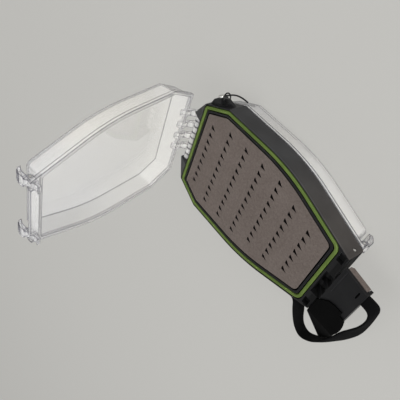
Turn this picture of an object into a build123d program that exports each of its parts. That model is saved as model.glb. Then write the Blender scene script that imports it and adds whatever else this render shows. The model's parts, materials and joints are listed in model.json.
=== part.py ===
from build123d import *
import math
import os

# Double-sided fly box, millimetres.  +X runs from the lid hinge to the latch end, +Y across,
# +Z up out of the front face.  The box lies on its closed back lid, whose flat panel is Z = 0.
# The front lid stands open at OPEN_ANGLE, with its two latches.

# ---- case frame ----
FRAME_THICKNESS = 15.0
HINGE_END_X = -74.0
CASE_LENGTH = 151.0
CASE_WIDTH = 104.0
HINGE_EDGE_INSET = 11.5  # how far each end of the hinge edge lies in from the sides
CHAMFER_LENGTH = 23.5
SIDE_LENGTH = 40.5
SIDE_RADIUS = 139.0
LATCH_EDGE_INSET = 21.5
LATCH_CORNER_RADIUS = 1.4
HINGE_CORNER_RADIUS = 1.6
FRAME_CORNER_RADIUS = 0.8
FRAME_EDGE_CHAMFER = 0.4
WEB_THICKNESS = 3.0

# ---- seals and foam ----
SEAL_WIDTH = 2.4
SEAL_INSET = 3.0
SEAL_HINGE_SHIFT = 0.7
SEAL_CORNER_RADII = (3.2, 0.9)  # outer and inner, at the hinge end
SEAL_DEPTH = 3.0
SEAL_PROUD = 0.5
SEAL_SIDE_GAP = 0.8
SEAL_END_RADIUS = 7.0
SEAL_ROUNDING = 0.45
SHOULDER_LENGTH = 8.5
FOAM_INSET = 6.6
FOAM_HINGE_SHIFT = 1.0
FOAM_GAP = 1.1
SLIT_PITCH = 7.0
SLIT_ROW_SPACING = 17.6
SLIT_ROWS = ((9, 0.0), (11, 0.0), (11, 0.0), (11, 0.0), (10, 0.5), (9, 0.0), (7, 0.0))
SLIT_OUTLINE = ((-1.5, 0.2), (-0.3, 1.5), (2.6, -1.1), (-0.3, -1.5))
SLIT_DEPTH = 3.0
SLIT_EDGE_MARGIN = 7.7

# ---- lids ----
LID_DEPTH = 18.0
LID_GAP = 0.8
OPEN_ANGLE = 79.0
RIM_INSET = 0.5
RIM_THICKNESS = 2.6
RIM_LIP = 1.2
LID_WALL = 1.8
PANEL_THICKNESS = 2.0
SIDE_TAPER = 2.2
HINGE_TAPER = 3.1
LATCH_TAPER = 1.5
LATCH_WALL_OVERHANG = 0.2
RIM_END_MARGIN = 1.2
PANEL_EDGE = 0.6

# ---- lid hinge ----
AXIS_SETBACK = 6.6
HINGE_PIN_RADIUS = 1.25
HINGE_RUNNING_GAP = 0.05
KNUCKLE_RADIUS = 3.6
KNUCKLE_COUNT = 8
KNUCKLE_GAP = 0.4
KNUCKLE_SPAN = 47.0
ARM_THICKNESS = 3.2
ARM_RISE = 2.6
EAR_REACH = 3.6
EAR_TIP_WIDTH = 0.9
EAR_CORNER_MARGIN = 0.3
EAR_TIP_HEIGHT = 8.4
HINGE_PIN_SEAT = 3.8

# ---- lid latches ----
LATCH_Y = 26.0
LATCH_SETBACK = 4.0
LATCH_PIVOT_RISE = 2.0
LATCH_WIDTH = 5.6
LATCH_RELEASE_ANGLE = 15.0
LATCH_PIN_RADIUS = 0.8
LATCH_BARREL_RADIUS = 2.1
BOSS_WIDTH = 1.6
BOSS_GAP = 0.4
POCKET_DEPTH = 4.2
POCKET_WALL = 1.6
POCKET_LENGTH = 5.0
POCKET_SIDE_GAP = 1.0
HOOK_BOTTOM_GAP = 0.4
HOOK_GAP = 0.4
HOOK_ARM = 1.8
TOE_LENGTH = 1.4
TOE_HEIGHT = 1.6
LEVER_WIDTH = 8.8
LEVER_OUTER = ((3.1, 2.9), (2.1, 7.4), (-1.5, 11.2))  # arc up from the pivot, along X and Z
LEVER_INNER = ((-3.7, 10.5), (-0.9, 7.0), (-0.1, 2.9))  # and back down on the lid's side
GRIP_RIB_RADIUS = 0.5
GRIP_RIB_PLACES = ((2.15, 7.2), (1.2, 8.8), (0.0, 10.2))

# ---- end flap ----
FLAP_NEAR_Y = 23.2
FLAP_FAR_Y = 19.4
FLAP_MINUS_Y = 29.0
FLAP_LENGTH = 20.4
FLAP_PLATE = 2.0
FLAP_CORNER_RADIUS = 3.0
FLAP_STRAP_CORNER_RADIUS = 1.0
FLAP_SETBACK = 1.5
FLAP_PIN_RADIUS = 1.2
FLAP_PIN_SETBACK = 3.5
FLAP_PIN_HEIGHT = 6.3
FLAP_PIN_RECESS = 0.4
FLAP_BARREL_RADIUS = 2.9
FLAP_RECESS_WIDTH = 24.6
FLAP_RECESS_Y = -2.7
FLAP_RECESS_WALL = 1.2
FLAP_KNUCKLE_COUNT = 5
FLAP_KNUCKLE_GAP = 0.4
FLAP_FOAM_THICKNESS = 4.8
FLAP_FOAM_MARGIN = 0.3
FLAP_FOAM_START = 1.0
FLAP_FOAM_RELIEF = 1.8
FLAP_WALL = 2.0
FLAP_WALL_Y = -21.5
FLAP_FOAM_Y = -20.5
FLAP_RIB = 0.6
FLAP_RIB_SETBACK = 2.2
SLOT_Y = 13.8
SLOT_LENGTH = 6.4
SLOT_WIDTH = 1.4
SLOT_SETBACK = 4.5

# ---- strap, a webbing loop that stands on edge and lies flat at its end under the flap ----
STRAP_WIDTH = 12.0
STRAP_THICKNESS = 1.6
STRAP_DROP = 1.0
STRAP_WALL_GAP = 0.2
STRAP_FLAP_GAP = 0.3
STRAP_END_Y = 12.6
STRAP_END_WIDTH = 10.6
STRAP_BEND_SHARE = 0.45
STRAP_ON_WALL = (28.0, 16.5)  # how far back from the latch corner it lies on the side wall
STRAP_LOOP = [  # from the latch corner: along X, then along Y
    (-10.5, -8.1), (-6.0, -13.7), (-1.5, -20.1), (3.5, -25.4), (9.5, -27.1), (15.3, -22.5),
    (20.8, -12.7), (25.8, -1.0), (29.6, 12.0), (31.9, 26.0), (32.2, 37.0), (31.2, 47.5),
]
STRAP_SCREW_BACK = 22.0
STRAP_PIN_RADIUS = 0.5
STRAP_PIN_SEAT = (2.4, 0.9)

# ---- tab, a smooth web from the flap down to the strap ----
TAB_THICKNESS = 1.2
TAB_DROP = 8.0
TAB_CLEARANCE = 0.2
TAB_REACH = 24.0
TAB_CORNER_RADIUS = 2.0
TAB_SHOULDER = (-1.2, -2.4)  # its corner beside the frame, from where it leaves the flap
TAB_INNER_EDGE = ((0.0, -10.6), (5.0, -8.0), (9.9, -6.7), (16.8, -6.7), (16.8, -10.2))

# ---- screws ----
SCREW_HEAD_RADIUS = 2.4
SCREW_HEAD_HEIGHT = 1.2
SCREW_SHANK_RADIUS = 1.0
SCREW_SHANK_LENGTH = 5.0
SCREW_SLOT = 0.6

# ---- lanyard ----
LUG_HEIGHT = 8.0
LUG_TAB_THICKNESS = 2.4
LUG_BASE_PLAN = [(2.0, 0.0), (6.0, 4.0), (9.5, 5.2), (12.5, 5.0), (13.6, 0.0)]
LUG_TAB_PLAN = [(12.0, 0.0), (12.0, 4.8), (13.5, 5.0), (17.5, 5.0), (24.0, 0.0)]
LUG_SCREW_AT = 9.5
LUG_HOLE_AT = (15.5, 2.2)
LUG_HOLE_RADIUS = 1.7
RING_RADIUS = 3.3
RING_WIRE_RADIUS = 0.55
RING_WIRE_SIDES = 8
TAIL_RADIUS = 0.6
TAIL_RUN_SHARE = 0.45
TAIL_ROUTE = [  # bare end, through the ring, then down beside the case; heights from its middle
    (-64.4, 52.6, 0.0), (-61.5, 55.0, 0.1), (-58.9, 57.0, -0.8), (-56.5, 57.6, -2.5),
    (-54.1, 57.3, -4.4), (-52.0, 56.3, -6.3), (-49.7, 54.8, -8.5),
]

# ---- worked out from the values above ----
FRAME_BACK = LID_DEPTH
FRAME_FRONT = FRAME_BACK + FRAME_THICKNESS
MID_Z = FRAME_BACK + FRAME_THICKNESS / 2
LATCH_END_X = HINGE_END_X + CASE_LENGTH
HALF_WIDTH = CASE_WIDTH / 2
HINGE_EDGE_WIDTH = CASE_WIDTH - 2 * HINGE_EDGE_INSET
LATCH_EDGE_WIDTH = CASE_WIDTH - 2 * LATCH_EDGE_INSET
CHAMFER_END_X = HINGE_END_X + CHAMFER_LENGTH
SIDE_END_X = CHAMFER_END_X + SIDE_LENGTH
SEAL_OUTER_X = LATCH_END_X - SHOULDER_LENGTH
SEAL_OUTER_INSET = SEAL_INSET - SEAL_WIDTH / 2
SEAL_INNER_INSET = SEAL_INSET + SEAL_WIDTH / 2
FOAM_END_X = SEAL_OUTER_X - (FOAM_INSET - SEAL_OUTER_INSET)
FOAM_DEPTH = (FRAME_THICKNESS - WEB_THICKNESS) / 2
AXIS_X = HINGE_END_X - AXIS_SETBACK
RIM_BASE_Z = FRAME_FRONT + LID_GAP
RIM_TOP_Z = RIM_BASE_Z + RIM_THICKNESS
LID_TOP_Z = FRAME_FRONT + LID_DEPTH
LID_WALL_END_X = SEAL_OUTER_X + LATCH_WALL_OVERHANG
RIM_END_X = LATCH_END_X - RIM_END_MARGIN
LATCH_PIVOT_X = LATCH_END_X - LATCH_SETBACK
LATCH_PIVOT_Z = RIM_TOP_Z + LATCH_PIVOT_RISE
POCKET_END_X = LATCH_END_X - POCKET_WALL
FLAP_AXIS_X = LATCH_END_X - FLAP_PIN_SETBACK
FLAP_AXIS_Z = FRAME_BACK + FLAP_PIN_HEIGHT
FLAP_START_X = LATCH_END_X + FLAP_SETBACK
FLAP_END_X = FLAP_START_X + FLAP_LENGTH
FLAP_RECESS_X = SEAL_OUTER_X + SEAL_SIDE_GAP + FLAP_RECESS_WALL
LATCH_CORNER_Y = -LATCH_EDGE_WIDTH / 2
STRAP_TOP = FRAME_FRONT - STRAP_DROP
STRAP_MID_Z = STRAP_TOP - STRAP_WIDTH / 2
STRAP_END_TOP = FRAME_FRONT - FLAP_PLATE - STRAP_FLAP_GAP
LUG_PLANE = Plane(
    origin=(HINGE_END_X, HINGE_EDGE_WIDTH / 2, MID_Z),
    x_dir=(CHAMFER_LENGTH, HINGE_EDGE_INSET, 0),
    z_dir=(0, 0, 1),
)
BIG = 4 * CASE_LENGTH

CLOSED_TO_OPEN = Location((AXIS_X, 0, MID_Z)) * Location((0, 0, 0), (0, -OPEN_ANGLE, 0)) * Location(
    (-AXIS_X, 0, -MID_Z)
)
LATCH_RELEASED = Location((LATCH_PIVOT_X, 0, LATCH_PIVOT_Z)) * Location(
    (0, 0, 0), (0, LATCH_RELEASE_ANGLE, 0)
) * Location((-LATCH_PIVOT_X, 0, -LATCH_PIVOT_Z))
FRONT_TO_BACK = Location((0, 0, MID_Z)) * Location((0, 0, 0), (180, 0, 0)) * Location((0, 0, -MID_Z))


# ---- outlines ----
def latch_side_tangent():
    """Angle and point where the curved side runs straight to the latch corner."""
    across = LATCH_END_X - SIDE_END_X
    up = LATCH_EDGE_WIDTH / 2 - (HALF_WIDTH - SIDE_RADIUS)
    reach = math.hypot(across, up)
    angle = math.atan2(across, up) - math.acos(SIDE_RADIUS / reach)
    centre_y = HALF_WIDTH - SIDE_RADIUS
    point = (SIDE_END_X + SIDE_RADIUS * math.sin(angle), centre_y + SIDE_RADIUS * math.cos(angle))
    return angle, point


def case_outline():
    """Six-sided case outline with gently curved long sides."""
    angle, tangent = latch_side_tangent()
    centre_y = HALF_WIDTH - SIDE_RADIUS
    middle = (
        SIDE_END_X + SIDE_RADIUS * math.sin(angle / 2),
        centre_y + SIDE_RADIUS * math.cos(angle / 2),
    )
    hinge_corner = (HINGE_END_X, HINGE_EDGE_WIDTH / 2)
    chamfer_corner = (CHAMFER_END_X, HALF_WIDTH)
    side_end = (SIDE_END_X, HALF_WIDTH)
    latch_corner = (LATCH_END_X, LATCH_EDGE_WIDTH / 2)
    with BuildSketch() as sketch:
        with BuildLine():
            Polyline((HINGE_END_X, 0), hinge_corner, chamfer_corner, side_end)
            ThreePointArc(side_end, middle, tangent)
            Polyline(tangent, latch_corner, (LATCH_END_X, 0))
            mirror(about=Plane.XZ)
        make_face()
    return sketch.sketch


def inset_outline(inset, end_x, end_radius, corner_radius, hinge_inset=None):
    """Case outline moved in by inset and cut square at end_x, with its corners rounded."""
    shape = case_outline()
    if inset:
        shape = offset(shape, amount=-inset, kind=Kind.INTERSECTION)
    if hinge_inset is None:
        hinge_inset = inset
    shape = Pos(min(0, hinge_inset - inset), 0) * shape
    start_x = HINGE_END_X + hinge_inset
    keep = Pos((start_x + end_x) / 2, 0) * Rectangle(end_x - start_x, BIG)
    shape = Sketch() + (shape & keep)
    ends = shape.vertices().filter_by_position(Axis.X, end_x - 0.01, end_x + 0.01)
    shape = fillet(ends, end_radius)
    corners = shape.vertices().filter_by_position(Axis.X, HINGE_END_X - 1, CHAMFER_END_X + 10)
    return fillet(corners, corner_radius)


def slab(outline, bottom, top):
    """Outline extruded from one height to another."""
    return extrude(Pos(0, 0, bottom) * outline, top - bottom)


def box_between(low, high):
    """Box from its lowest to its highest corner."""
    size = [high[i] - low[i] for i in range(3)]
    centre = [(high[i] + low[i]) / 2 for i in range(3)]
    return Pos(*centre) * Box(*size)


def rod_y(x, z, radius, y_low, y_high):
    """Round bar parallel to Y."""
    return Pos(x, (y_low + y_high) / 2, z) * Rot(90, 0, 0) * Cylinder(radius, y_high - y_low)


def plate_xz(points, y_low, y_high):
    """Side profile in X and Z, extruded along Y."""
    face = make_face(Polyline(*[(x, 0, z) for x, z in points], close=True))
    solid = extrude(face, y_high - y_low, dir=(0, 1, 0))
    return Pos(0, y_low, 0) * solid


# ---- case frame ----
def seal_band(side_gap):
    """Plan of the seal, or of its groove when side_gap is added."""
    outer = inset_outline(
        SEAL_OUTER_INSET - side_gap,
        SEAL_OUTER_X + side_gap,
        SEAL_END_RADIUS,
        SEAL_CORNER_RADII[0],
        hinge_inset=SEAL_OUTER_INSET - side_gap - SEAL_HINGE_SHIFT,
    )
    inner = inset_outline(
        SEAL_INNER_INSET + side_gap,
        SEAL_OUTER_X - SEAL_WIDTH - side_gap,
        SEAL_END_RADIUS - SEAL_WIDTH,
        SEAL_CORNER_RADII[1],
        hinge_inset=SEAL_INNER_INSET + side_gap - SEAL_HINGE_SHIFT,
    )
    return outer - inner


def foam_outline(gap):
    """Plan of the foam pocket, or of the foam itself when a gap is taken off."""
    return inset_outline(
        FOAM_INSET + gap,
        FOAM_END_X - gap,
        SEAL_END_RADIUS - SEAL_WIDTH,
        HINGE_CORNER_RADIUS,
        hinge_inset=FOAM_INSET + gap - FOAM_HINGE_SHIFT,
    )


def hinge_ears():
    """Two pointed ears at the hinge end that carry the lid hinge pin."""
    half_span = KNUCKLE_SPAN / 2
    corner_y = HINGE_EDGE_WIDTH / 2 - EAR_CORNER_MARGIN
    tip_x = AXIS_X - EAR_REACH
    inboard = HINGE_END_X + FOAM_INSET / 2
    profile = plate_xz(
        [
            (inboard, FRAME_FRONT),
            (HINGE_END_X, FRAME_FRONT),
            (tip_x, MID_Z + EAR_TIP_HEIGHT / 2),
            (tip_x, MID_Z - EAR_TIP_HEIGHT / 2),
            (HINGE_END_X, FRAME_BACK),
            (inboard, FRAME_BACK),
        ],
        -HALF_WIDTH,
        HALF_WIDTH,
    )
    ears = []
    for sign in (1, -1):
        plan = make_face(
            Polyline(
                (inboard, sign * half_span),
                (tip_x, sign * half_span),
                (tip_x, sign * (half_span + EAR_TIP_WIDTH)),
                (HINGE_END_X, sign * corner_y),
                (inboard, sign * corner_y),
                close=True,
            )
        )
        ears.append(slab(plan, FRAME_BACK, FRAME_FRONT) & profile)
    return ears


def latch_pockets():
    """Pockets for the latch hooks, each with a window for the hook's toe, on both faces."""
    length = (POCKET_END_X - POCKET_LENGTH, POCKET_END_X)
    half = LATCH_WIDTH / 2 + POCKET_SIDE_GAP
    floor = FRAME_FRONT - POCKET_DEPTH
    lip = floor + HOOK_BOTTOM_GAP + TOE_HEIGHT + HOOK_GAP
    cuts = []
    for y in (LATCH_Y, -LATCH_Y):
        pocket = box_between((length[0], y - half, floor), (length[1], y + half, FRAME_FRONT + 1))
        window = box_between((length[1] - 0.1, y - half, floor), (LATCH_END_X + 1, y + half, lip))
        cuts += [pocket, window, FRONT_TO_BACK * pocket, FRONT_TO_BACK * window]
    return cuts


def knuckle_spans(width, count, gap, middle=0):
    """Y limits of each knuckle of a hinge, from -Y to +Y."""
    each = (width - (count + 1) * gap) / count
    lows = [middle - width / 2 + gap + i * (each + gap) for i in range(count)]
    return [(low, low + each) for low in lows]


def flap_knuckle_spans():
    """Y limits of the end flap's knuckles and, between them, the frame's."""
    return knuckle_spans(FLAP_RECESS_WIDTH, FLAP_KNUCKLE_COUNT, FLAP_KNUCKLE_GAP, FLAP_RECESS_Y)


def flap_lugs():
    """The frame's own knuckles for the end flap, between the flap's."""
    lugs = []
    for low, high in flap_knuckle_spans()[1::2]:
        with BuildSketch(Plane.XZ) as side:
            with Locations((FLAP_AXIS_X, FLAP_AXIS_Z)):
                Circle(FLAP_BARREL_RADIUS)
            with Locations((FLAP_RECESS_X - FLAP_RECESS_WALL / 2, FLAP_AXIS_Z)):
                Rectangle(FLAP_RECESS_WALL, 2 * FLAP_BARREL_RADIUS)
            make_hull()
        lugs.append(Pos(0, high, 0) * extrude(side.sketch, high - low))
    return lugs


def flap_pin_half():
    """Half of the flap pin's length: its ends lie just inside the frame's side walls."""
    corner_slope = math.tan(latch_side_tangent()[0])
    return LATCH_EDGE_WIDTH / 2 + FLAP_PIN_SETBACK * corner_slope - FLAP_PIN_RECESS


def case_frame():
    outline = inset_outline(0, LATCH_END_X, LATCH_CORNER_RADIUS, FRAME_CORNER_RADIUS)
    body = slab(outline, FRAME_BACK, FRAME_FRONT)
    body = chamfer(body.faces().sort_by(Axis.Z)[-1].edges(), FRAME_EDGE_CHAMFER)
    body = chamfer(body.faces().sort_by(Axis.Z)[0].edges(), FRAME_EDGE_CHAMFER)
    for ear in hinge_ears():
        body += ear
    pocket = slab(foam_outline(0), FRAME_FRONT - FOAM_DEPTH, FRAME_FRONT + 1)
    groove = slab(seal_band(SEAL_SIDE_GAP), FRAME_FRONT - SEAL_DEPTH, FRAME_FRONT + 1)
    half = FLAP_RECESS_WIDTH / 2
    recess = box_between(
        (FLAP_RECESS_X, FLAP_RECESS_Y - half, FRAME_BACK - 1),
        (LATCH_END_X + 1, FLAP_RECESS_Y + half, FRAME_FRONT + 1),
    )
    cuts = [pocket, FRONT_TO_BACK * pocket, groove, FRONT_TO_BACK * groove, recess]
    for cut in cuts + latch_pockets():
        body -= cut
    for lug in flap_lugs():
        body += lug
    body -= rod_y(AXIS_X, MID_Z, HINGE_PIN_RADIUS, -HALF_WIDTH, hinge_pin_half())
    body -= rod_y(FLAP_AXIS_X, FLAP_AXIS_Z, FLAP_PIN_RADIUS, -HALF_WIDTH, HALF_WIDTH)
    body -= side_wall_plane(STRAP_SCREW_BACK) * screw_shank(0)
    body -= lug_screw_plane() * screw_shank(0)
    return body


def hinge_pin_half():
    """Half of the lid hinge pin's length: it ends inside both ears."""
    return KNUCKLE_SPAN / 2 + HINGE_PIN_SEAT


def hinge_pin():
    half = hinge_pin_half()
    pin = rod_y(AXIS_X, MID_Z, HINGE_PIN_RADIUS, -half, half)
    return chamfer(pin.edges().filter_by(GeomType.CIRCLE), HINGE_PIN_RADIUS / 5)


def flap_pin():
    half = flap_pin_half()
    pin = rod_y(FLAP_AXIS_X, FLAP_AXIS_Z, FLAP_PIN_RADIUS, -half, half)
    return chamfer(pin.edges().filter_by(GeomType.CIRCLE), FLAP_PIN_RADIUS / 5)


# ---- seal and foam ----
def front_seal():
    seal = slab(seal_band(0), FRAME_FRONT - SEAL_DEPTH, FRAME_FRONT + SEAL_PROUD)
    return chamfer(seal.faces().sort_by(Axis.Z)[-1].edges(), SEAL_ROUNDING)


def slit_cuts():
    """Wedge-shaped slits, wide towards the hinge, in rows across the foam."""
    first_x = HINGE_END_X + FOAM_INSET + SLIT_EDGE_MARGIN
    wedge = make_face(Polyline(*SLIT_OUTLINE, close=True))
    cuts = []
    for row, (count, shift) in enumerate(SLIT_ROWS):
        x = first_x + row * SLIT_ROW_SPACING
        for i in range(count):
            y = (i - (count - 1) / 2 + shift) * SLIT_PITCH
            cuts.append(slab(Pos(x, y) * wedge, FRAME_FRONT - SLIT_DEPTH, FRAME_FRONT + 1))
    return cuts


def front_foam():
    foam = slab(foam_outline(FOAM_GAP), FRAME_FRONT - FOAM_DEPTH, FRAME_FRONT)
    return foam - slit_cuts()


# ---- lids ----
def lid_wall_outline(inset, wall_inset, hinge_inset, end_x, radius):
    """Outline of the lid's wall at one height."""
    return inset_outline(
        RIM_INSET + RIM_LIP + inset + wall_inset,
        end_x - wall_inset,
        radius,
        HINGE_CORNER_RADIUS,
        hinge_inset=RIM_INSET + RIM_LIP + hinge_inset + wall_inset,
    )


def lid_tray():
    """Clear tapered tray with a rim flange that runs out over the latch shoulder."""
    corner = SEAL_END_RADIUS - SEAL_WIDTH
    low_outer = lid_wall_outline(0, 0, 0, LID_WALL_END_X, corner)
    top_outer = lid_wall_outline(SIDE_TAPER, 0, HINGE_TAPER, LID_WALL_END_X - LATCH_TAPER, corner)
    low_inner = lid_wall_outline(0, LID_WALL, 0, LID_WALL_END_X, corner - LID_WALL)
    top_inner = lid_wall_outline(
        SIDE_TAPER, LID_WALL, HINGE_TAPER, LID_WALL_END_X - LATCH_TAPER, corner - LID_WALL
    )
    outer = loft([Pos(0, 0, RIM_BASE_Z) * low_outer, Pos(0, 0, LID_TOP_Z) * top_outer], ruled=True)
    inner = loft(
        [
            Pos(0, 0, RIM_BASE_Z) * low_inner,
            Pos(0, 0, LID_TOP_Z - PANEL_THICKNESS) * top_inner,
        ],
        ruled=True,
    )
    rim = slab(
        inset_outline(RIM_INSET, RIM_END_X, LATCH_CORNER_RADIUS, HINGE_CORNER_RADIUS),
        RIM_BASE_Z,
        RIM_TOP_Z,
    )
    outer = chamfer(outer.faces().sort_by(Axis.Z)[-1].edges(), PANEL_EDGE)
    return outer + rim - inner


def knuckle_arm(low, high):
    """Goose-neck arm from the hinge wall and rim down to its knuckle on the hinge axis."""
    back_x = AXIS_X - KNUCKLE_RADIUS
    front_x = AXIS_X + KNUCKLE_RADIUS
    wall_x = HINGE_END_X + RIM_INSET + RIM_LIP
    neck_z = RIM_BASE_Z - ARM_THICKNESS
    arm = plate_xz(
        [
            (back_x, MID_Z),
            (back_x, neck_z),
            (AXIS_X, RIM_BASE_Z),
            (wall_x - ARM_THICKNESS, RIM_TOP_Z + ARM_RISE),
            (wall_x + LID_WALL / 2, RIM_TOP_Z + ARM_RISE),
            (wall_x + LID_WALL / 2, RIM_BASE_Z),
            (AXIS_X + ARM_THICKNESS, RIM_BASE_Z),
            (back_x + ARM_THICKNESS, neck_z - ARM_THICKNESS / 3),
            (front_x, MID_Z),
        ],
        low,
        high,
    )
    return arm + rod_y(AXIS_X, MID_Z, KNUCKLE_RADIUS, low, high)


def latch_bosses():
    """Pairs of bosses on the rim that hold each latch pin."""
    inner = LATCH_WIDTH / 2 + BOSS_GAP
    bosses = []
    for y in (LATCH_Y, -LATCH_Y):
        for low in (y - inner - BOSS_WIDTH, y + inner):
            block = box_between(
                (LATCH_PIVOT_X - LATCH_BARREL_RADIUS, low, RIM_BASE_Z + RIM_THICKNESS / 2),
                (LATCH_PIVOT_X + LATCH_BARREL_RADIUS, low + BOSS_WIDTH, LATCH_PIVOT_Z),
            )
            bosses.append(block)
            bosses.append(rod_y(LATCH_PIVOT_X, LATCH_PIVOT_Z, LATCH_BARREL_RADIUS, low, low + BOSS_WIDTH))
    return bosses


def closed_lid():
    lid = lid_tray()
    spans = knuckle_spans(KNUCKLE_SPAN, KNUCKLE_COUNT, KNUCKLE_GAP)
    for low, high in spans[1::2]:
        lid += knuckle_arm(low, high)
    for boss in latch_bosses():
        lid += boss
    notch_half = LATCH_WIDTH / 2 + BOSS_GAP
    for y in (LATCH_Y, -LATCH_Y):
        lid -= box_between(
            (POCKET_END_X - POCKET_LENGTH, y - notch_half, RIM_BASE_Z - 1),
            (LATCH_END_X + 1, y + notch_half, RIM_TOP_Z + 0.01),
        )
        lid -= rod_y(LATCH_PIVOT_X, LATCH_PIVOT_Z, LATCH_PIN_RADIUS, y - BIG / 20, y + BIG / 20)
    lid -= rod_y(AXIS_X, MID_Z, HINGE_PIN_RADIUS + HINGE_RUNNING_GAP, -BIG / 2, BIG / 2)
    return lid


# ---- latches ----
def lever_profile():
    """Side view of the curved finger lever, thick at the pivot and rounded at its tip."""
    outer = [(LATCH_PIVOT_X + x, 0, LATCH_PIVOT_Z + z) for x, z in LEVER_OUTER]
    inner = [(LATCH_PIVOT_X + x, 0, LATCH_PIVOT_Z + z) for x, z in LEVER_INNER]
    axle = [(LATCH_PIVOT_X - LATCH_BARREL_RADIUS, 0, LATCH_PIVOT_Z)]
    axle.append((LATCH_PIVOT_X + LATCH_BARREL_RADIUS, 0, LATCH_PIVOT_Z))
    edges = ThreePointArc(*outer) + Line(outer[-1], inner[0])
    edges += ThreePointArc(*inner) + Line(inner[-1], outer[0])
    blade = make_face(edges)
    neck = make_face(Polyline(inner[-1], axle[0], axle[1], outer[0], close=True))
    return blade, neck


def latch_lever(y):
    """Clear latch: a curved, ribbed finger lever above the pivot and a hook with a toe below it."""
    hook_low = FRAME_FRONT - POCKET_DEPTH + HOOK_BOTTOM_GAP
    arm_out = POCKET_END_X - HOOK_GAP
    arm_in = arm_out - HOOK_ARM
    toe_x = arm_out + TOE_LENGTH
    half = LATCH_WIDTH / 2
    hook = plate_xz(
        [
            (LATCH_PIVOT_X - LATCH_BARREL_RADIUS, LATCH_PIVOT_Z),
            (arm_in, RIM_BASE_Z),
            (arm_in, hook_low),
            (toe_x - TOE_LENGTH / 2, hook_low),
            (toe_x, hook_low + TOE_HEIGHT / 2),
            (arm_out, hook_low + TOE_HEIGHT),
            (arm_out, RIM_BASE_Z),
            (LATCH_PIVOT_X + LATCH_BARREL_RADIUS, LATCH_PIVOT_Z),
        ],
        y - half,
        y + half,
    )
    blade, neck = lever_profile()
    lever = hook + rod_y(LATCH_PIVOT_X, LATCH_PIVOT_Z, LATCH_BARREL_RADIUS, y - half, y + half)
    lever += Pos(0, y - half, 0) * extrude(neck, LATCH_WIDTH, dir=(0, 1, 0))
    lever += Pos(0, y - LEVER_WIDTH / 2, 0) * extrude(blade, LEVER_WIDTH, dir=(0, 1, 0))
    rib_half = LEVER_WIDTH / 2 - GRIP_RIB_RADIUS
    for x, z in GRIP_RIB_PLACES:
        lever += rod_y(LATCH_PIVOT_X + x, LATCH_PIVOT_Z + z, GRIP_RIB_RADIUS, y - rib_half, y + rib_half)
    bore = LATCH_PIN_RADIUS + HINGE_RUNNING_GAP
    return lever - rod_y(LATCH_PIVOT_X, LATCH_PIVOT_Z, bore, y - LATCH_WIDTH, y + LATCH_WIDTH)


def latch_pins():
    half = LATCH_WIDTH / 2 + BOSS_GAP + BOSS_WIDTH
    return [
        rod_y(LATCH_PIVOT_X, LATCH_PIVOT_Z, LATCH_PIN_RADIUS, y - half, y + half)
        for y in (LATCH_Y, -LATCH_Y)
    ]


# ---- end flap ----
def flap_outline(margin=0):
    """Plan of the flap's plate: its +Y edge tapers and its far corners are rounded."""
    plate = make_face(
        Polyline(
            (FLAP_START_X, -FLAP_MINUS_Y + margin),
            (FLAP_END_X - margin, -FLAP_MINUS_Y + margin),
            (FLAP_END_X - margin, FLAP_FAR_Y - margin),
            (FLAP_START_X, FLAP_NEAR_Y - margin),
            close=True,
        )
    )
    for index, radius in ((0, FLAP_CORNER_RADIUS), (-1, FLAP_STRAP_CORNER_RADIUS)):
        corner = plate.vertices().group_by(Axis.X)[-1].sort_by(Axis.Y)[index]
        plate = fillet(corner, radius)
    return plate


def flap_knuckle_foot():
    """Lowest corner of the web between each of the flap's knuckles and its plate."""
    return FLAP_START_X + FLAP_WALL, FRAME_FRONT - 3 * FLAP_PLATE


def end_flap():
    plate_low = FRAME_FRONT - FLAP_PLATE
    flap = slab(flap_outline(), plate_low, FRAME_FRONT)
    flap += box_between(
        (FLAP_END_X - FLAP_WALL, FLAP_WALL_Y, plate_low - FLAP_FOAM_THICKNESS),
        (FLAP_END_X, FLAP_FAR_Y - FLAP_STRAP_CORNER_RADIUS / 3, plate_low),
    )
    foot_x, foot_z = flap_knuckle_foot()
    for low, high in flap_knuckle_spans()[0::2]:
        with BuildSketch(Plane.XZ) as side:
            with Locations((FLAP_AXIS_X, FLAP_AXIS_Z)):
                Circle(FLAP_BARREL_RADIUS)
            with Locations(((FLAP_START_X + foot_x) / 2, (foot_z + FRAME_FRONT) / 2)):
                Rectangle(foot_x - FLAP_START_X, FRAME_FRONT - foot_z)
            make_hull()
        flap += Pos(0, high, 0) * extrude(side.sketch, high - low)
    rib_x = FLAP_START_X + FLAP_RIB_SETBACK
    flap += box_between(
        (rib_x, 0, FRAME_FRONT - FLAP_RIB),
        (rib_x + FLAP_RIB, FLAP_NEAR_Y - 2 * FLAP_RIB, FRAME_FRONT + FLAP_RIB),
    )
    flap -= strap_slot()
    flap -= strap_pin()
    slot = SlotOverall(SLOT_LENGTH, SLOT_WIDTH, rotation=90)
    flap -= slab(Pos(FLAP_END_X - SLOT_SETBACK, SLOT_Y) * slot, plate_low - 1, FRAME_FRONT + 1)
    bore = FLAP_PIN_RADIUS + HINGE_RUNNING_GAP
    return flap - rod_y(FLAP_AXIS_X, FLAP_AXIS_Z, bore, -HALF_WIDTH, HALF_WIDTH)


def strap_slot():
    """Slot in the flap's far wall for the strap's flat end."""
    half = STRAP_END_WIDTH / 2 + STRAP_FLAP_GAP
    low_z = STRAP_END_TOP - STRAP_THICKNESS - STRAP_FLAP_GAP
    return box_between(
        (FLAP_END_X - FLAP_WALL - 1, STRAP_END_Y - half, low_z),
        (FLAP_END_X + 1, STRAP_END_Y + half, FRAME_FRONT - FLAP_PLATE),
    )


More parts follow.
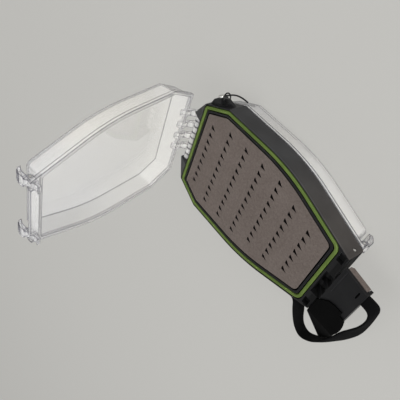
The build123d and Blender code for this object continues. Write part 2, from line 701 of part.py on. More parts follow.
def flap_foam():
    """Foam under the plate: its near edge is relieved where it swings past the frame's end."""
    top = FRAME_FRONT - FLAP_PLATE
    low = top - FLAP_FOAM_THICKNESS
    under_plate = slab(flap_outline(FLAP_FOAM_MARGIN), low, top)
    end = FLAP_END_X - FLAP_WALL - FLAP_FOAM_MARGIN
    start = flap_knuckle_foot()[0] + FLAP_FOAM_MARGIN
    near = FLAP_START_X + FLAP_FOAM_START
    recess_side = FLAP_RECESS_Y + FLAP_RECESS_WIDTH / 2
    main = box_between((start, FLAP_FOAM_Y, low), (end, recess_side, top))
    relieved = [(near, low + FLAP_FOAM_RELIEF), (near + FLAP_FOAM_RELIEF, low)]
    beside = plate_xz([(near, top)] + relieved + [(end, low), (end, top)], recess_side, FLAP_NEAR_Y)
    return under_plate & (main + beside)


# ---- screws ----
def screw(plane, head_low):
    """Pan-head screw on plane's normal, its head standing head_low above the plane."""
    head = Pos(0, 0, head_low + SCREW_HEAD_HEIGHT / 2) * Cylinder(SCREW_HEAD_RADIUS, SCREW_HEAD_HEIGHT)
    head = chamfer(head.edges().sort_by(Axis.Z)[-1], SCREW_HEAD_HEIGHT / 3)
    slot_z = head_low + SCREW_HEAD_HEIGHT
    for angle in (0, 90):
        slot = Box(1.2 * SCREW_HEAD_RADIUS, SCREW_SLOT, 2 * SCREW_SLOT)
        head -= Pos(0, 0, slot_z) * Rot(0, 0, angle) * slot
    return plane * (head + screw_shank(head_low))


def screw_shank(head_low):
    """Shank from under the head to its tip below the plane."""
    length = SCREW_SHANK_LENGTH + head_low
    return Pos(0, 0, head_low - length / 2) * Cylinder(SCREW_SHANK_RADIUS, length)


# ---- strap ----
def side_wall_plane(back):
    """Plane on the straight stretch of the -Y side wall, facing out, back from the latch corner."""
    angle = latch_side_tangent()[0]
    y = LATCH_CORNER_Y - back * math.tan(angle)
    return Plane(
        origin=(LATCH_END_X - back, y, STRAP_MID_Z),
        x_dir=(math.cos(angle), math.sin(angle), 0),
        z_dir=(math.sin(angle), -math.cos(angle), 0),
    )


def bend_radii(points, share):
    """Largest smooth radius at each inner point, as a share of its shorter run."""
    radii = []
    for before, here, after in zip(points, points[1:], points[2:]):
        run_in = Vector(*here) - Vector(*before)
        run_out = Vector(*after) - Vector(*here)
        half_turn = math.radians(run_in.get_angle(run_out)) / 2
        radii.append(share * min(run_in.length, run_out.length) / math.tan(half_turn))
    return radii


def strap_line():
    """Centre line of the strap's upright stretch, seen from above."""
    stand_off = STRAP_WALL_GAP + STRAP_THICKNESS / 2
    on_wall = [side_wall_plane(back) * Pos(0, 0, stand_off) for back in STRAP_ON_WALL]
    points = [(place.position.X, place.position.Y) for place in on_wall]
    points += [(LATCH_END_X + x, LATCH_CORNER_Y + y) for x, y in STRAP_LOOP]
    return points, FilletPolyline(*points, radius=bend_radii(points, STRAP_BEND_SHARE))


def strap():
    points, line = strap_line()
    band = make_face(offset(line, amount=STRAP_THICKNESS / 2, side=Side.BOTH))
    solid = slab(band, STRAP_TOP - STRAP_WIDTH, STRAP_TOP)
    solid += box_between(
        (FLAP_END_X - FLAP_WALL, STRAP_END_Y - STRAP_END_WIDTH / 2, STRAP_END_TOP - STRAP_THICKNESS),
        (points[-1][0], STRAP_END_Y + STRAP_END_WIDTH / 2, STRAP_END_TOP),
    )
    hole = side_wall_plane(STRAP_SCREW_BACK) * Cylinder(SCREW_SHANK_RADIUS, 2 * SCREW_SHANK_LENGTH)
    return solid - hole - strap_pin()


def strap_screw():
    return screw(side_wall_plane(STRAP_SCREW_BACK), STRAP_WALL_GAP + STRAP_THICKNESS)


def strap_pin():
    """Cross pin through the hem of the strap, seated in the slot of the flap's far wall."""
    low_y = STRAP_END_Y - STRAP_END_WIDTH / 2 - STRAP_PIN_SEAT[0]
    high_y = STRAP_END_Y + STRAP_END_WIDTH / 2 + STRAP_PIN_SEAT[1]
    z = STRAP_END_TOP - STRAP_THICKNESS / 2
    return rod_y(FLAP_END_X - FLAP_WALL / 2, z, STRAP_PIN_RADIUS, low_y, high_y)


def strap_tab():
    """Web that lies on the flap's -Y side and slopes down to the inside of the strap."""
    fold_y = -FLAP_MINUS_Y - TAB_CLEARANCE
    low_y = fold_y - TAB_REACH
    low_z = FRAME_FRONT - TAB_DROP
    profile = make_face(
        Polyline(
            (0, 0, FRAME_FRONT),
            (0, fold_y, FRAME_FRONT),
            (0, low_y, low_z),
            (0, low_y, low_z + TAB_THICKNESS),
            (0, fold_y, FRAME_FRONT + TAB_THICKNESS),
            (0, 0, FRAME_FRONT + TAB_THICKNESS),
            close=True,
        )
    )
    web = extrude(profile, BIG / 2, dir=(1, 0, 0))
    far_x = FLAP_END_X + TAB_CLEARANCE + TAB_THICKNESS
    corner = (far_x, TAB_INNER_EDGE[-1][1])
    shoulder = (FLAP_START_X + TAB_SHOULDER[0], fold_y + TAB_SHOULDER[1])
    slant = shoulder[1] - low_y
    edge = [(FLAP_START_X + x, y) for x, y in TAB_INNER_EDGE] + [corner, (far_x, low_y)]
    edge += [(shoulder[0] + slant, low_y), shoulder, (FLAP_START_X, fold_y)]
    plan = make_face(Polyline(*edge, close=True))
    plan = fillet(plan.vertices().sort_by_distance(corner)[0], TAB_CORNER_RADIUS)
    points, line = strap_line()
    loop = make_face(line + Line(points[-1], points[0]))
    inside = offset(loop, amount=-(STRAP_THICKNESS / 2 + TAB_CLEARANCE))
    return web & slab(plan & inside, 0, LID_TOP_Z)


# ---- lanyard ----
def lug_piece(points, thickness):
    """Slice of the lug: its plan in the lug's own plane, thick about the middle of the case."""
    flat = make_face(Polyline(*points, close=True))
    return LUG_PLANE * Pos(0, 0, -thickness / 2) * extrude(flat, thickness)


def lug_screw_plane():
    """Plane on the chamfered corner that the lug is screwed to, facing out."""
    along = LUG_PLANE.x_dir
    return Plane(origin=LUG_PLANE.origin + along * LUG_SCREW_AT, x_dir=along, z_dir=LUG_PLANE.y_dir)


def lanyard_lug():
    lug = lug_piece(LUG_BASE_PLAN, LUG_HEIGHT) + lug_piece(LUG_TAB_PLAN, LUG_TAB_THICKNESS)
    hole = LUG_PLANE * Pos(*LUG_HOLE_AT, 0) * Cylinder(LUG_HOLE_RADIUS, LUG_HEIGHT)
    top = max(y for x, y in LUG_BASE_PLAN)
    return lug - hole - lug_screw_plane() * screw_shank(top)


def lug_screw():
    return screw(lug_screw_plane(), max(y for x, y in LUG_BASE_PLAN))


def ring_centre_out():
    """Height of the ring's centre over the chamfer: its wire runs through the middle of the hole."""
    return LUG_HOLE_AT[1] + RING_RADIUS


def lanyard_ring():
    place = LUG_PLANE * Pos(LUG_HOLE_AT[0], ring_centre_out(), 0) * Rot(0, 90, 0)
    section = Plane.XZ * Pos(RING_RADIUS, 0) * RegularPolygon(RING_WIRE_RADIUS, RING_WIRE_SIDES)
    return place * revolve(section, Axis.Z)


def lanyard_tail():
    route = [(x, y, MID_Z + z) for x, y, z in TAIL_ROUTE]
    radii = bend_radii(route, TAIL_RUN_SHARE)
    line = FilletPolyline(*route, radius=radii)
    print("tail radii", [round(radius, 1) for radius in radii], "length", round(line.length, 1))
    section = Plane(origin=route[0], z_dir=line % 0) * Circle(TAIL_RADIUS)
    return sweep(section, path=line)


# ---- output ----
def write(name, *solids):
    shape = solids[0] if len(solids) == 1 else Compound(children=list(solids))
    shape.label = name
    export_step(shape, f"parts/{name}.step")


def main():
    os.makedirs("parts", exist_ok=True)
    write("case_frame", case_frame())
    seal = front_seal()
    foam = front_foam()
    write("front_seal", seal)
    write("back_seal", FRONT_TO_BACK * seal)
    write("front_foam", foam)
    write("back_foam", FRONT_TO_BACK * foam)
    write("hinge_pin", hinge_pin())
    lid = closed_lid()
    write("front_lid", CLOSED_TO_OPEN * lid)
    write("back_lid", FRONT_TO_BACK * lid)
    write("front_latch_left", CLOSED_TO_OPEN * LATCH_RELEASED * latch_lever(LATCH_Y))
    write("front_latch_right", CLOSED_TO_OPEN * LATCH_RELEASED * latch_lever(-LATCH_Y))
    write("back_latch_left", FRONT_TO_BACK * latch_lever(-LATCH_Y))
    write("back_latch_right", FRONT_TO_BACK * latch_lever(LATCH_Y))
    write("front_latch_pins", *[CLOSED_TO_OPEN * pin for pin in latch_pins()])
    write("back_latch_pins", *[FRONT_TO_BACK * pin for pin in latch_pins()])
    write("end_flap", end_flap())
    write("flap_foam", flap_foam())
    write("flap_pin", flap_pin())
    write("strap", strap())
    write("strap_screw", strap_screw())
    write("strap_pin", strap_pin())
    write("strap_tab", strap_tab())
    write("lanyard_lug", lanyard_lug())
    write("lug_screw", lug_screw())
    write("lanyard_ring", lanyard_ring())
    write("lanyard_tail", lanyard_tail())


main()
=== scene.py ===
import json
import math
from itertools import product

import bmesh
import bpy
from mathutils import Matrix, Vector


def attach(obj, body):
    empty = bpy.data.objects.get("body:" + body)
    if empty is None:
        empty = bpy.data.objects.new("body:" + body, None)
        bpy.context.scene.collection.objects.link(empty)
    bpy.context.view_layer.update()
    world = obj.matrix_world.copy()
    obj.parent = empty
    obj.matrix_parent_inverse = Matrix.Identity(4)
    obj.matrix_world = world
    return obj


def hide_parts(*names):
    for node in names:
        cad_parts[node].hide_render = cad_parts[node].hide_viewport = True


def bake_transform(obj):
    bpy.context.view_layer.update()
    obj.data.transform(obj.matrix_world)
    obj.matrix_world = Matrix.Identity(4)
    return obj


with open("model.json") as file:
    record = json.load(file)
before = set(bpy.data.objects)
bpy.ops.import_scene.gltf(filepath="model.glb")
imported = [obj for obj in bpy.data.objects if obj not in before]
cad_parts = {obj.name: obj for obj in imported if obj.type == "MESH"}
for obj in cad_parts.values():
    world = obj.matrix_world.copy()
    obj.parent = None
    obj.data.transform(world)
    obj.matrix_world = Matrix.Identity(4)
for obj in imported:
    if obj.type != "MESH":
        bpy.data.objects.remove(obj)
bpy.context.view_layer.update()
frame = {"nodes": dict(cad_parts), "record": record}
MM = 0.001  # sizes that carry it are in metres, and the bare ones in millimetres


# ---- small helpers ----
def linear(value):
    """One sRGB channel, 0 to 255, as linear light."""
    value /= 255
    return value / 12.92 if value <= 0.04045 else ((value + 0.055) / 1.055) ** 2.4


def colour(red, green, blue):
    """Opaque colour from three sRGB channels, 0 to 255."""
    return (linear(red), linear(green), linear(blue), 1.0)


def mm(*values):
    """Vector in metres from millimetres."""
    return Vector(values) * MM


def link(piece):
    """Puts an object into the scene."""
    bpy.context.scene.collection.objects.link(piece)
    return piece


def new_piece(name, bm, material, smooth=True):
    """Object made from a bmesh, with one material."""
    mesh = bpy.data.meshes.new(name)
    bm.to_mesh(mesh)
    bm.free()
    mesh.materials.append(material)
    for face in mesh.polygons:
        face.use_smooth = smooth
    return link(bpy.data.objects.new(name, mesh))


# ---- node helpers ----
MIX_SOCKETS = ("Factor_Float", "A_Color", "B_Color")
TONE_STOPS = (0.3, 0.7)  # where the dark and the light tone stand on a noise
BEVEL_SAMPLES = 6
SHARP_TURN = 0.82  # cosine between a bevel's normal and the face's at a full edge
NO_TURN = 0.985  # and where there is no edge


class Nodes:
    """A new material and short ways to add nodes to it."""

    def __init__(self, name):
        self.material = bpy.data.materials.new(name)
        self.material.use_nodes = True
        self.tree = self.material.node_tree
        self.shader = self.tree.nodes["Principled BSDF"]
        self.output = self.tree.nodes["Material Output"]
        self.coords = self.add("ShaderNodeTexCoord").outputs["Object"]

    def add(self, kind, **values):
        """New node, with values for its sockets or its own settings."""
        node = self.tree.nodes.new(kind)
        for key, value in values.items():
            if key in node.inputs:
                node.inputs[key].default_value = value
            else:
                setattr(node, key, value)
        return node

    def join(self, output, target):
        self.tree.links.new(output, target)

    def set(self, **values):
        """Constants on the shader's own sockets."""
        for key, value in values.items():
            self.shader.inputs[key.replace("_", " ")].default_value = value

    def noise(self, scale, detail, roughness=0.5):
        node = self.add("ShaderNodeTexNoise", Scale=scale, Detail=detail, Roughness=roughness)
        self.join(self.coords, node.inputs["Vector"])
        return node.outputs["Fac"]

    def split(self, vector):
        """The X, Y and Z outputs of a vector."""
        node = self.add("ShaderNodeSeparateXYZ")
        self.join(vector, node.inputs["Vector"])
        return node.outputs

    def ramp(self, value, tones, stops=TONE_STOPS):
        """Two tones spread over a value."""
        node = self.add("ShaderNodeValToRGB")
        for element, place, tone in zip(node.color_ramp.elements, stops, tones):
            element.position = place
            element.color = tone
        self.join(value, node.inputs["Fac"])
        return node.outputs["Color"]

    def range(self, value, to=(0.0, 1.0), over=(0.0, 1.0)):
        """The value carried from the span over to the span to."""
        node = self.add("ShaderNodeMapRange")
        for key, number in zip(("From Min", "From Max", "To Min", "To Max"), (*over, *to)):
            node.inputs[key].default_value = number
        self.join(value, node.inputs["Value"])
        return node.outputs["Result"]

    def math(self, operation, a, b=0):
        node = self.add("ShaderNodeMath", operation=operation)
        for socket, value in zip(node.inputs, (a, b)):
            if isinstance(value, (int, float)):
                socket.default_value = value
            else:
                self.join(value, socket)
        return node.outputs["Value"]

    def mix(self, share, a, b):
        node = self.add("ShaderNodeMix", data_type="RGBA")
        share_in, a_in, b_in = (
            next(s for s in node.inputs if s.identifier == key) for key in MIX_SOCKETS
        )
        self.join(share, share_in)
        for socket, value in ((a_in, a), (b_in, b)):
            if isinstance(value, tuple):
                socket.default_value = value
            else:
                self.join(value, socket)
        return next(s for s in node.outputs if s.identifier == "Result_Color")

    def edges(self, width, sharp=SHARP_TURN):
        """One along edges, none on faces: how far a bevel of this width would turn the normal."""
        bevel = self.add("ShaderNodeBevel", samples=BEVEL_SAMPLES, Radius=width)
        face = self.add("ShaderNodeNewGeometry").outputs["Normal"]
        dot = self.add("ShaderNodeVectorMath", operation="DOT_PRODUCT")
        self.join(bevel.outputs["Normal"], dot.inputs[0])
        self.join(face, dot.inputs[1])
        return self.range(dot.outputs["Value"], to=(1.0, 0.0), over=(sharp, NO_TURN))

    def bump(self, height, strength, distance):
        node = self.add("ShaderNodeBump", Strength=strength, Distance=distance)
        self.join(height, node.inputs["Height"])
        self.join(node.outputs["Normal"], self.shader.inputs["Normal"])

    def base(self, output):
        self.join(output, self.shader.inputs["Base Color"])

    def roughness(self, output):
        self.join(output, self.shader.inputs["Roughness"])


# ---- moulded plastic ----
SIDE_ARC_X = -10.0 * MM  # the case's curved side, as in its outline
SIDE_ARC_BACK = 87.0 * MM
SIDE_ARC_RADIUS = 139.0 * MM
SIDE_ARC_ANGLE = math.radians(18.47)
CHAMFER_X = -50.5 * MM
CHAMFER_Y = 52.0 * MM
CHAMFER_TURN = math.atan2(11.5, 23.5)
CHAMFER_SHARE = 0.25
CHAMFER_FADE = (CHAMFER_X - 0.3 * MM, CHAMFER_X + 0.1 * MM)
HINGE_END = -74.0 * MM
# painted light: the case's outer wall is painted greyer than its front rim, and lighter towards the
# latch end
WALL_DEPTHS = (-0.7 * MM, -0.45 * MM)
LIT_WALL_NEAR_TONES = (colour(47, 47, 48), colour(57, 57, 58))
LIT_WALL_FAR_TONES = (colour(57, 54, 52), colour(67, 64, 62))
WALL_LIGHT_FADE = (0.0 * MM, 55.0 * MM)
# painted shade: the case's latch end is painted near black
LATCH_END_SHADE_SPAN = (72.0 * MM, 73.0 * MM)
LATCH_END_SHADE_TONE = colour(6, 6, 6)
LATCH_END_ROUGHNESS = 0.85
# painted highlight: a paler tone along the moulding's edges
MOULD_EDGE_HIGHLIGHT_TONE = colour(58, 58, 60)
MOULD_EDGE_HIGHLIGHT_WIDTH = 0.35 * MM
MOULD_ROUGHNESS = (0.36, 0.52)


def lit_wall_mask(m):
    """One on the case's outer wall, none in its grooves and pockets, by how near the outline is; it
    carries the wall's painted light.
    """
    place = m.split(m.coords)
    x = place["X"]
    y = m.math("ABSOLUTE", place["Y"])
    along = m.math("SUBTRACT", x, SIDE_ARC_X)
    across = m.math("ADD", y, SIDE_ARC_BACK)
    turn = m.math("MAXIMUM", m.math("ARCTAN2", along, across), 0.0)
    turn = m.math("MINIMUM", turn, SIDE_ARC_ANGLE)
    reach_x = m.math("MULTIPLY", along, m.math("SINE", turn))
    reach_y = m.math("MULTIPLY", across, m.math("COSINE", turn))
    side = m.math("SUBTRACT", m.math("ADD", reach_x, reach_y), SIDE_ARC_RADIUS)
    past_y = m.math("MULTIPLY", m.math("SUBTRACT", y, CHAMFER_Y), math.cos(CHAMFER_TURN))
    past_x = m.math("MULTIPLY", m.math("SUBTRACT", x, CHAMFER_X), math.sin(CHAMFER_TURN))
    chamfer = m.math("SUBTRACT", past_y, past_x)
    side_part = m.range(x, over=CHAMFER_FADE)
    on_side = m.math("MULTIPLY", m.range(side, over=WALL_DEPTHS), side_part)
    on_chamfer = m.range(chamfer, to=(0.0, CHAMFER_SHARE), over=WALL_DEPTHS)
    on_end = m.range(m.math("SUBTRACT", HINGE_END, x), over=WALL_DEPTHS)
    return m.math("MAXIMUM", m.math("MAXIMUM", on_side, on_chamfer), on_end)


def moulded_plastic(name, tones, paint_light_and_shade=False):
    """Moulded plastic with a painted highlight along its edges; the case also gets painted light on
    its greyer wall and painted shade on its dark latch end.
    """
    m = Nodes(name)
    clouds = m.noise(scale=60, detail=3)
    tone = m.ramp(clouds, tones)
    rough = m.range(m.noise(scale=900, detail=2), to=MOULD_ROUGHNESS)
    if paint_light_and_shade:
        x = m.split(m.coords)["X"]
        # painted shade on the latch end
        latch_end_shade = m.range(x, over=LATCH_END_SHADE_SPAN)
        tone = m.mix(latch_end_shade, tone, LATCH_END_SHADE_TONE)
        # painted light on the outer wall, lighter towards the latch end
        lit_near_tone = m.ramp(clouds, LIT_WALL_NEAR_TONES)
        lit_far_tone = m.ramp(clouds, LIT_WALL_FAR_TONES)
        lit_wall_tone = m.mix(m.range(x, over=WALL_LIGHT_FADE), lit_near_tone, lit_far_tone)
        tone = m.mix(lit_wall_mask(m), tone, lit_wall_tone)
        rough = m.math("MAXIMUM", rough, m.math("MULTIPLY", latch_end_shade, LATCH_END_ROUGHNESS))
    # painted highlight along the edges, broken into patches
    highlight_patches = m.range(m.noise(scale=180, detail=4), to=(0.25, 1.0), over=(0.35, 0.7))
    edges = m.math("MULTIPLY", m.edges(MOULD_EDGE_HIGHLIGHT_WIDTH), highlight_patches)
    m.base(m.mix(edges, tone, MOULD_EDGE_HIGHLIGHT_TONE))
    m.roughness(rough)
    m.bump(m.noise(scale=2600, detail=2), strength=0.18, distance=0.06 * MM)
    m.set(Specular_IOR_Level=0.22)
    return m.material


# ---- clear plastic ----
CLEAR_TONES = (colour(251, 250, 247), colour(245, 245, 246))
CLEAR_STOPS = (0.35, 0.65)
# painted shade: darker lines along the clear plastic's edges and where it is seen edge-on
CLEAR_EDGE_SHARP = 0.965
CLEAR_EDGE_SHADE_TONE = colour(70, 68, 82)
CLEAR_RIM_SHADE_SHARE = 0.85
CLEAR_ROUGHNESS = (0.0, 0.03)
CLEAR_SHADOW = 0.12  # how much of a shadow ray it stops
HINGE_AXIS = mm(-80.6, 0.0, 25.5)
ACROSS_HINGE = (1, 0, 1)
KNUCKLE_REACH = (6.0 * MM, 8.5 * MM)
KNUCKLE_CLEARNESS = 0.45


def hinge_distance(m):
    """Distance from the lids' hinge axis, in metres."""
    offset = m.add("ShaderNodeVectorMath", operation="SUBTRACT")
    m.join(m.coords, offset.inputs[0])
    offset.inputs[1].default_value = HINGE_AXIS
    across = m.add("ShaderNodeVectorMath", operation="MULTIPLY")
    m.join(offset.outputs["Vector"], across.inputs[0])
    across.inputs[1].default_value = ACROSS_HINGE
    length = m.add("ShaderNodeVectorMath", operation="LENGTH")
    m.join(across.outputs["Vector"], length.inputs[0])
    return length.outputs["Value"]


def clear_plastic(name, edge_width, clearness, rim_shade_facing):
    """Clear moulding: refracts, with painted shade as darker lines along its edges and where it is
    seen edge-on.
    """
    m = Nodes(name)
    facing = m.add("ShaderNodeLayerWeight", Blend=0.5).outputs["Facing"]
    # painted shade where the plastic is seen edge-on and along its edges
    rim_shade = m.range(facing, to=(0.0, CLEAR_RIM_SHADE_SHARE), over=rim_shade_facing)
    edges = m.math("MAXIMUM", m.edges(edge_width, CLEAR_EDGE_SHARP), rim_shade)
    tone = m.ramp(m.noise(scale=9, detail=2), CLEAR_TONES, CLEAR_STOPS)
    m.base(m.mix(edges, tone, CLEAR_EDGE_SHADE_TONE))
    shadow = m.add("ShaderNodeLightPath").outputs["Is Shadow Ray"]
    m.join(m.range(shadow, to=(1.0, CLEAR_SHADOW)), m.shader.inputs["Alpha"])
    m.roughness(m.range(m.noise(scale=14, detail=3), to=CLEAR_ROUGHNESS))
    clear = m.range(hinge_distance(m), to=(KNUCKLE_CLEARNESS, clearness), over=KNUCKLE_REACH)
    m.join(clear, m.shader.inputs["Transmission Weight"])
    m.set(IOR=1.49, Specular_IOR_Level=0.5)
    return m.material


# ---- silicone and foam ----
SEAL_TONES = (colour(78, 97, 42), colour(92, 111, 52))
FOAM_TONES = (colour(86, 77, 72), colour(113, 104, 99))
FOAM_STOPS = (0.3, 0.75)
PORE_SCALE = 1500
PORE_SHARE = 0.3
GRAIN_SHARE = 0.5
CLOUD_SHARE = 0.25
MID_HEIGHT = 25.5 * MM  # middle of the case, and how far its foam's faces stand from it
FACE_HEIGHT = 7.5 * MM
# painted shade: black inside the foam's cuts and under the flap's plate, and how far it fades in
# under the plate
PAINTED_SHADE_BLACK = colour(9, 8, 8)
PLATE_SHADE_BLEND = 0.1 * MM


def silicone():
    """Green seal."""
    m = Nodes("green_seal")
    m.base(m.ramp(m.noise(scale=90, detail=4), SEAL_TONES))
    m.roughness(m.range(m.noise(scale=300, detail=2), to=(0.5, 0.65)))
    m.set(Specular_IOR_Level=0.2)
    m.bump(m.noise(scale=1200, detail=2), strength=0.12, distance=0.08 * MM)
    return m.material


def foam_material(name, cut_shade_depth=None, shade_above=None):
    """Closed-cell foam: fine pores, cloudy colour, and painted shade in black inside its cuts or
    under its plate.
    """
    m = Nodes(name)
    voronoi = m.add("ShaderNodeTexVoronoi", Scale=PORE_SCALE)
    m.join(m.coords, voronoi.inputs["Vector"])
    pores = voronoi.outputs["Distance"]
    grain = m.math("MULTIPLY", m.noise(scale=520, detail=3, roughness=0.6), GRAIN_SHARE)
    cloud = m.math("MULTIPLY", m.noise(scale=45, detail=5, roughness=0.6), CLOUD_SHARE)
    shade = m.math("ADD", m.math("ADD", cloud, grain), m.math("MULTIPLY", pores, PORE_SHARE))
    tone = m.ramp(shade, FOAM_TONES, FOAM_STOPS)
    z = m.split(m.coords)["Z"]
    # painted shade deep in the cuts
    if cut_shade_depth:
        height = m.math("ABSOLUTE", m.math("SUBTRACT", z, MID_HEIGHT))
        cut_shade_span = (FACE_HEIGHT - cut_shade_depth, FACE_HEIGHT - cut_shade_depth / 4)
        tone = m.mix(m.range(height, to=(1.0, 0.0), over=cut_shade_span), tone, PAINTED_SHADE_BLACK)
    # painted shade under the flap's plate
    if shade_above:
        tone = m.mix(m.range(z, over=(shade_above - PLATE_SHADE_BLEND, shade_above)), tone, PAINTED_SHADE_BLACK)
    m.base(tone)
    m.set(Roughness=0.95, Specular_IOR_Level=0.15)
    relief = m.math("ADD", pores, m.noise(scale=700, detail=3))
    m.bump(relief, strength=0.5, distance=0.15 * MM)
    return m.material


# ---- metals, webbing and thread ----
STEEL_TONES = (colour(222, 221, 218), colour(244, 243, 240))
RING_TONES = (colour(10, 10, 11), colour(20, 20, 21))
WEBBING_TONES = (colour(2, 2, 2), colour(15, 15, 16))
WEBBING_STOPS = (0.15, 0.85)
WARP_PITCH = 1.1 * MM
WARP_POWER = 0.6
WEFT_PITCH = 0.9 * MM
WEFT_POWER = 0.5
WEFT_SKEW = 0.5
WEAVE_SHARE = 0.7
TAB_TONES = (colour(2, 2, 2), colour(4, 4, 4))
THREAD_TONES = (colour(8, 8, 9), colour(30, 30, 32))
THREAD_STOPS = (0.2, 0.9)


def steel():
    """Bright steel of the pins and screws."""
    m = Nodes("steel")
    m.base(m.ramp(m.noise(scale=120, detail=3), STEEL_TONES))
    m.set(Metallic=1.0)
    m.roughness(m.range(m.noise(scale=700, detail=3), to=(0.22, 0.42)))
    return m.material


def black_metal():
    """Black finish of the lanyard ring."""
    m = Nodes("black_ring")
    m.base(m.ramp(m.noise(scale=200, detail=3), RING_TONES))
    m.roughness(m.range(m.noise(scale=500, detail=3), to=(0.3, 0.5)))
    m.set(Specular_IOR_Level=0.4)
    return m.material


def webbing_material():
    """Flat webbing: warp ribs along it, crossed by the weft.  UV is metres along and across."""
    m = Nodes("webbing")
    place = m.split(m.add("ShaderNodeTexCoord").outputs["UV"])
    along, across = place["X"], place["Y"]
    rib = m.math("MULTIPLY", across, math.pi / WARP_PITCH)
    rib = m.math("ABSOLUTE", m.math("SINE", rib))
    skew = m.math("ADD", along, m.math("MULTIPLY", across, WEFT_SKEW))
    pick = m.math("MULTIPLY", skew, math.pi / WEFT_PITCH)
    pick = m.math("ABSOLUTE", m.math("SINE", pick))
    ribs = m.math("POWER", rib, WARP_POWER)
    weave = m.math("MULTIPLY", ribs, m.math("POWER", pick, WEFT_POWER))
    dust = m.math("MULTIPLY", m.noise(scale=260, detail=3), 1 - WEAVE_SHARE)
    shade = m.math("ADD", m.math("MULTIPLY", weave, WEAVE_SHARE), dust)
    m.base(m.ramp(shade, WEBBING_TONES, WEBBING_STOPS))
    m.set(Roughness=0.78, Specular_IOR_Level=0.06)
    m.bump(weave, strength=0.6, distance=0.25 * MM)
    return m.material


def coated_web():
    """Smooth coated web with a faint leathery grain."""
    m = Nodes("tab_web")
    m.base(m.ramp(m.noise(scale=70, detail=4), TAB_TONES))
    m.roughness(m.range(m.noise(scale=240, detail=3), to=(0.4, 0.6)))
    m.set(Specular_IOR_Level=0.05)
    m.bump(m.noise(scale=900, detail=3), strength=0.3, distance=0.1 * MM)
    return m.material


def thread_material(name, pitch):
    """Black twisted thread or braid, its strands wound at this pitch."""
    m = Nodes(name)
    strands = m.add("ShaderNodeTexWave", Scale=1 / (math.tau * pitch), Distortion=1.5)
    strands.bands_direction = "DIAGONAL"
    m.join(m.coords, strands.inputs["Vector"])
    m.base(m.ramp(strands.outputs["Fac"], THREAD_TONES, THREAD_STOPS))
    m.set(Roughness=0.7, Specular_IOR_Level=0.35)
    m.bump(strands.outputs["Fac"], strength=0.5, distance=0.1 * MM)
    return m.material


# ---- materials of the slots ----
CASE_TONES = (colour(16, 16, 17), colour(22, 22, 23))
FLAP_TONES = (colour(14, 14, 15), colour(20, 20, 21))
CHARCOAL = moulded_plastic("charcoal_plastic", CASE_TONES, paint_light_and_shade=True)
FLAP_BLACK = moulded_plastic("flap_plastic", FLAP_TONES)
CLEAR = clear_plastic(
    "clear_plastic", edge_width=1.1 * MM, clearness=0.78, rim_shade_facing=(0.62, 0.97)
)
# painted light: a whiter, less clear copy of the same plastic for the back lid, with wider painted
# shade lines, to make up for the shade it lies in
CLEAR_BACK_PAINTED_WHITER = clear_plastic(
    "clear_plastic_back_painted_whiter", edge_width=2.0 * MM, clearness=0.7, rim_shade_facing=(0.48, 0.85)
)
SEAL = silicone()
FOAM = foam_material("foam")
SLIT_FOAM = foam_material("slit_foam", cut_shade_depth=0.6 * MM)
FLAP_FOAM = foam_material("flap_foam", shade_above=30.7 * MM)
STEEL = steel()
RING_BLACK = black_metal()
WEBBING = webbing_material()
TAB_WEB = coated_web()
THREAD = thread_material("tab_thread", pitch=0.5 * MM)
BRAID = thread_material("cord_braid", pitch=0.7 * MM)

SLOT_MATERIALS = {
    "body_plastic": CHARCOAL,
    "clear_plastic": CLEAR,
    "seal": SEAL,
    "foam": FOAM,
    "steel": STEEL,
    "ring": RING_BLACK,
    "webbing": WEBBING,
    "tab": TAB_WEB,
    "cord": BRAID,
}
NODE_MATERIALS = {"end_flap": FLAP_BLACK, "back_lid": CLEAR_BACK_PAINTED_WHITER}


def finish_cad_nodes():
    """Gives every CAD node its own material, or else its slot's."""
    slots = {row["node"]: row["material_slot"] for row in frame["record"]["subparts"]}
    for name, node in frame["nodes"].items():
        node.data.materials.clear()
        node.data.materials.append(NODE_MATERIALS.get(name) or SLOT_MATERIALS[slots[name]])


# ---- pieces made from a CAD node's mesh ----
WELD = 0.002 * MM
FLAT_TURN = math.radians(1)


def cad_mesh(node):
    """Copy of the CAD node's mesh with its points joined, to be shaped further."""
    bm = bmesh.new()
    bm.from_mesh(frame["nodes"][node].data)
    bmesh.ops.remove_doubles(bm, verts=bm.verts, dist=WELD)
    return bm


def join_flat_faces(bm):
    bmesh.ops.dissolve_limit(bm, angle_limit=FLAT_TURN, verts=bm.verts, edges=bm.edges)


def round_edges(piece, width, segments, turn):
    """Rounds the edges that turn by more than this angle."""
    bevel = piece.modifiers.new("edges", "BEVEL")
    bevel.width = width
    bevel.segments = segments
    bevel.limit_method = "ANGLE"
    bevel.angle_limit = turn


# ---- foam inserts ----
SLIT_EDGE_ROUND = 0.1 * MM
PAD_EDGE_ROUND = 0.35 * MM
FOAM_ROUND_SEGMENTS = 2
FOAM_ROUND_TURN = math.radians(35)
SLIT_ROWS = (  # count of slits in the row, and its shift in pitches
    (9, 0), (11, 0), (11, 0), (11, 0), (10, 0.5), (9, 0), (7, 0),
)
SLIT_FIRST_ROW = -59.7
SLIT_ROW_PITCH = 17.6
SLIT_PITCH = 7.0
SLIT_CORNERS = (  # corner of the CAD slit, and where the slit's torn lip stands in the photograph
    ((-1.5, 0.2), (-1.25, 0.35)),
    ((-0.3, 1.5), (-1.05, 2.3)),
    ((2.6, -1.1), (4.0, -1.45)),
    ((-0.3, -1.5), (-0.9, -1.45)),
)
SLIT_MATCH = 0.12  # how near a point has to be to a corner to go with it


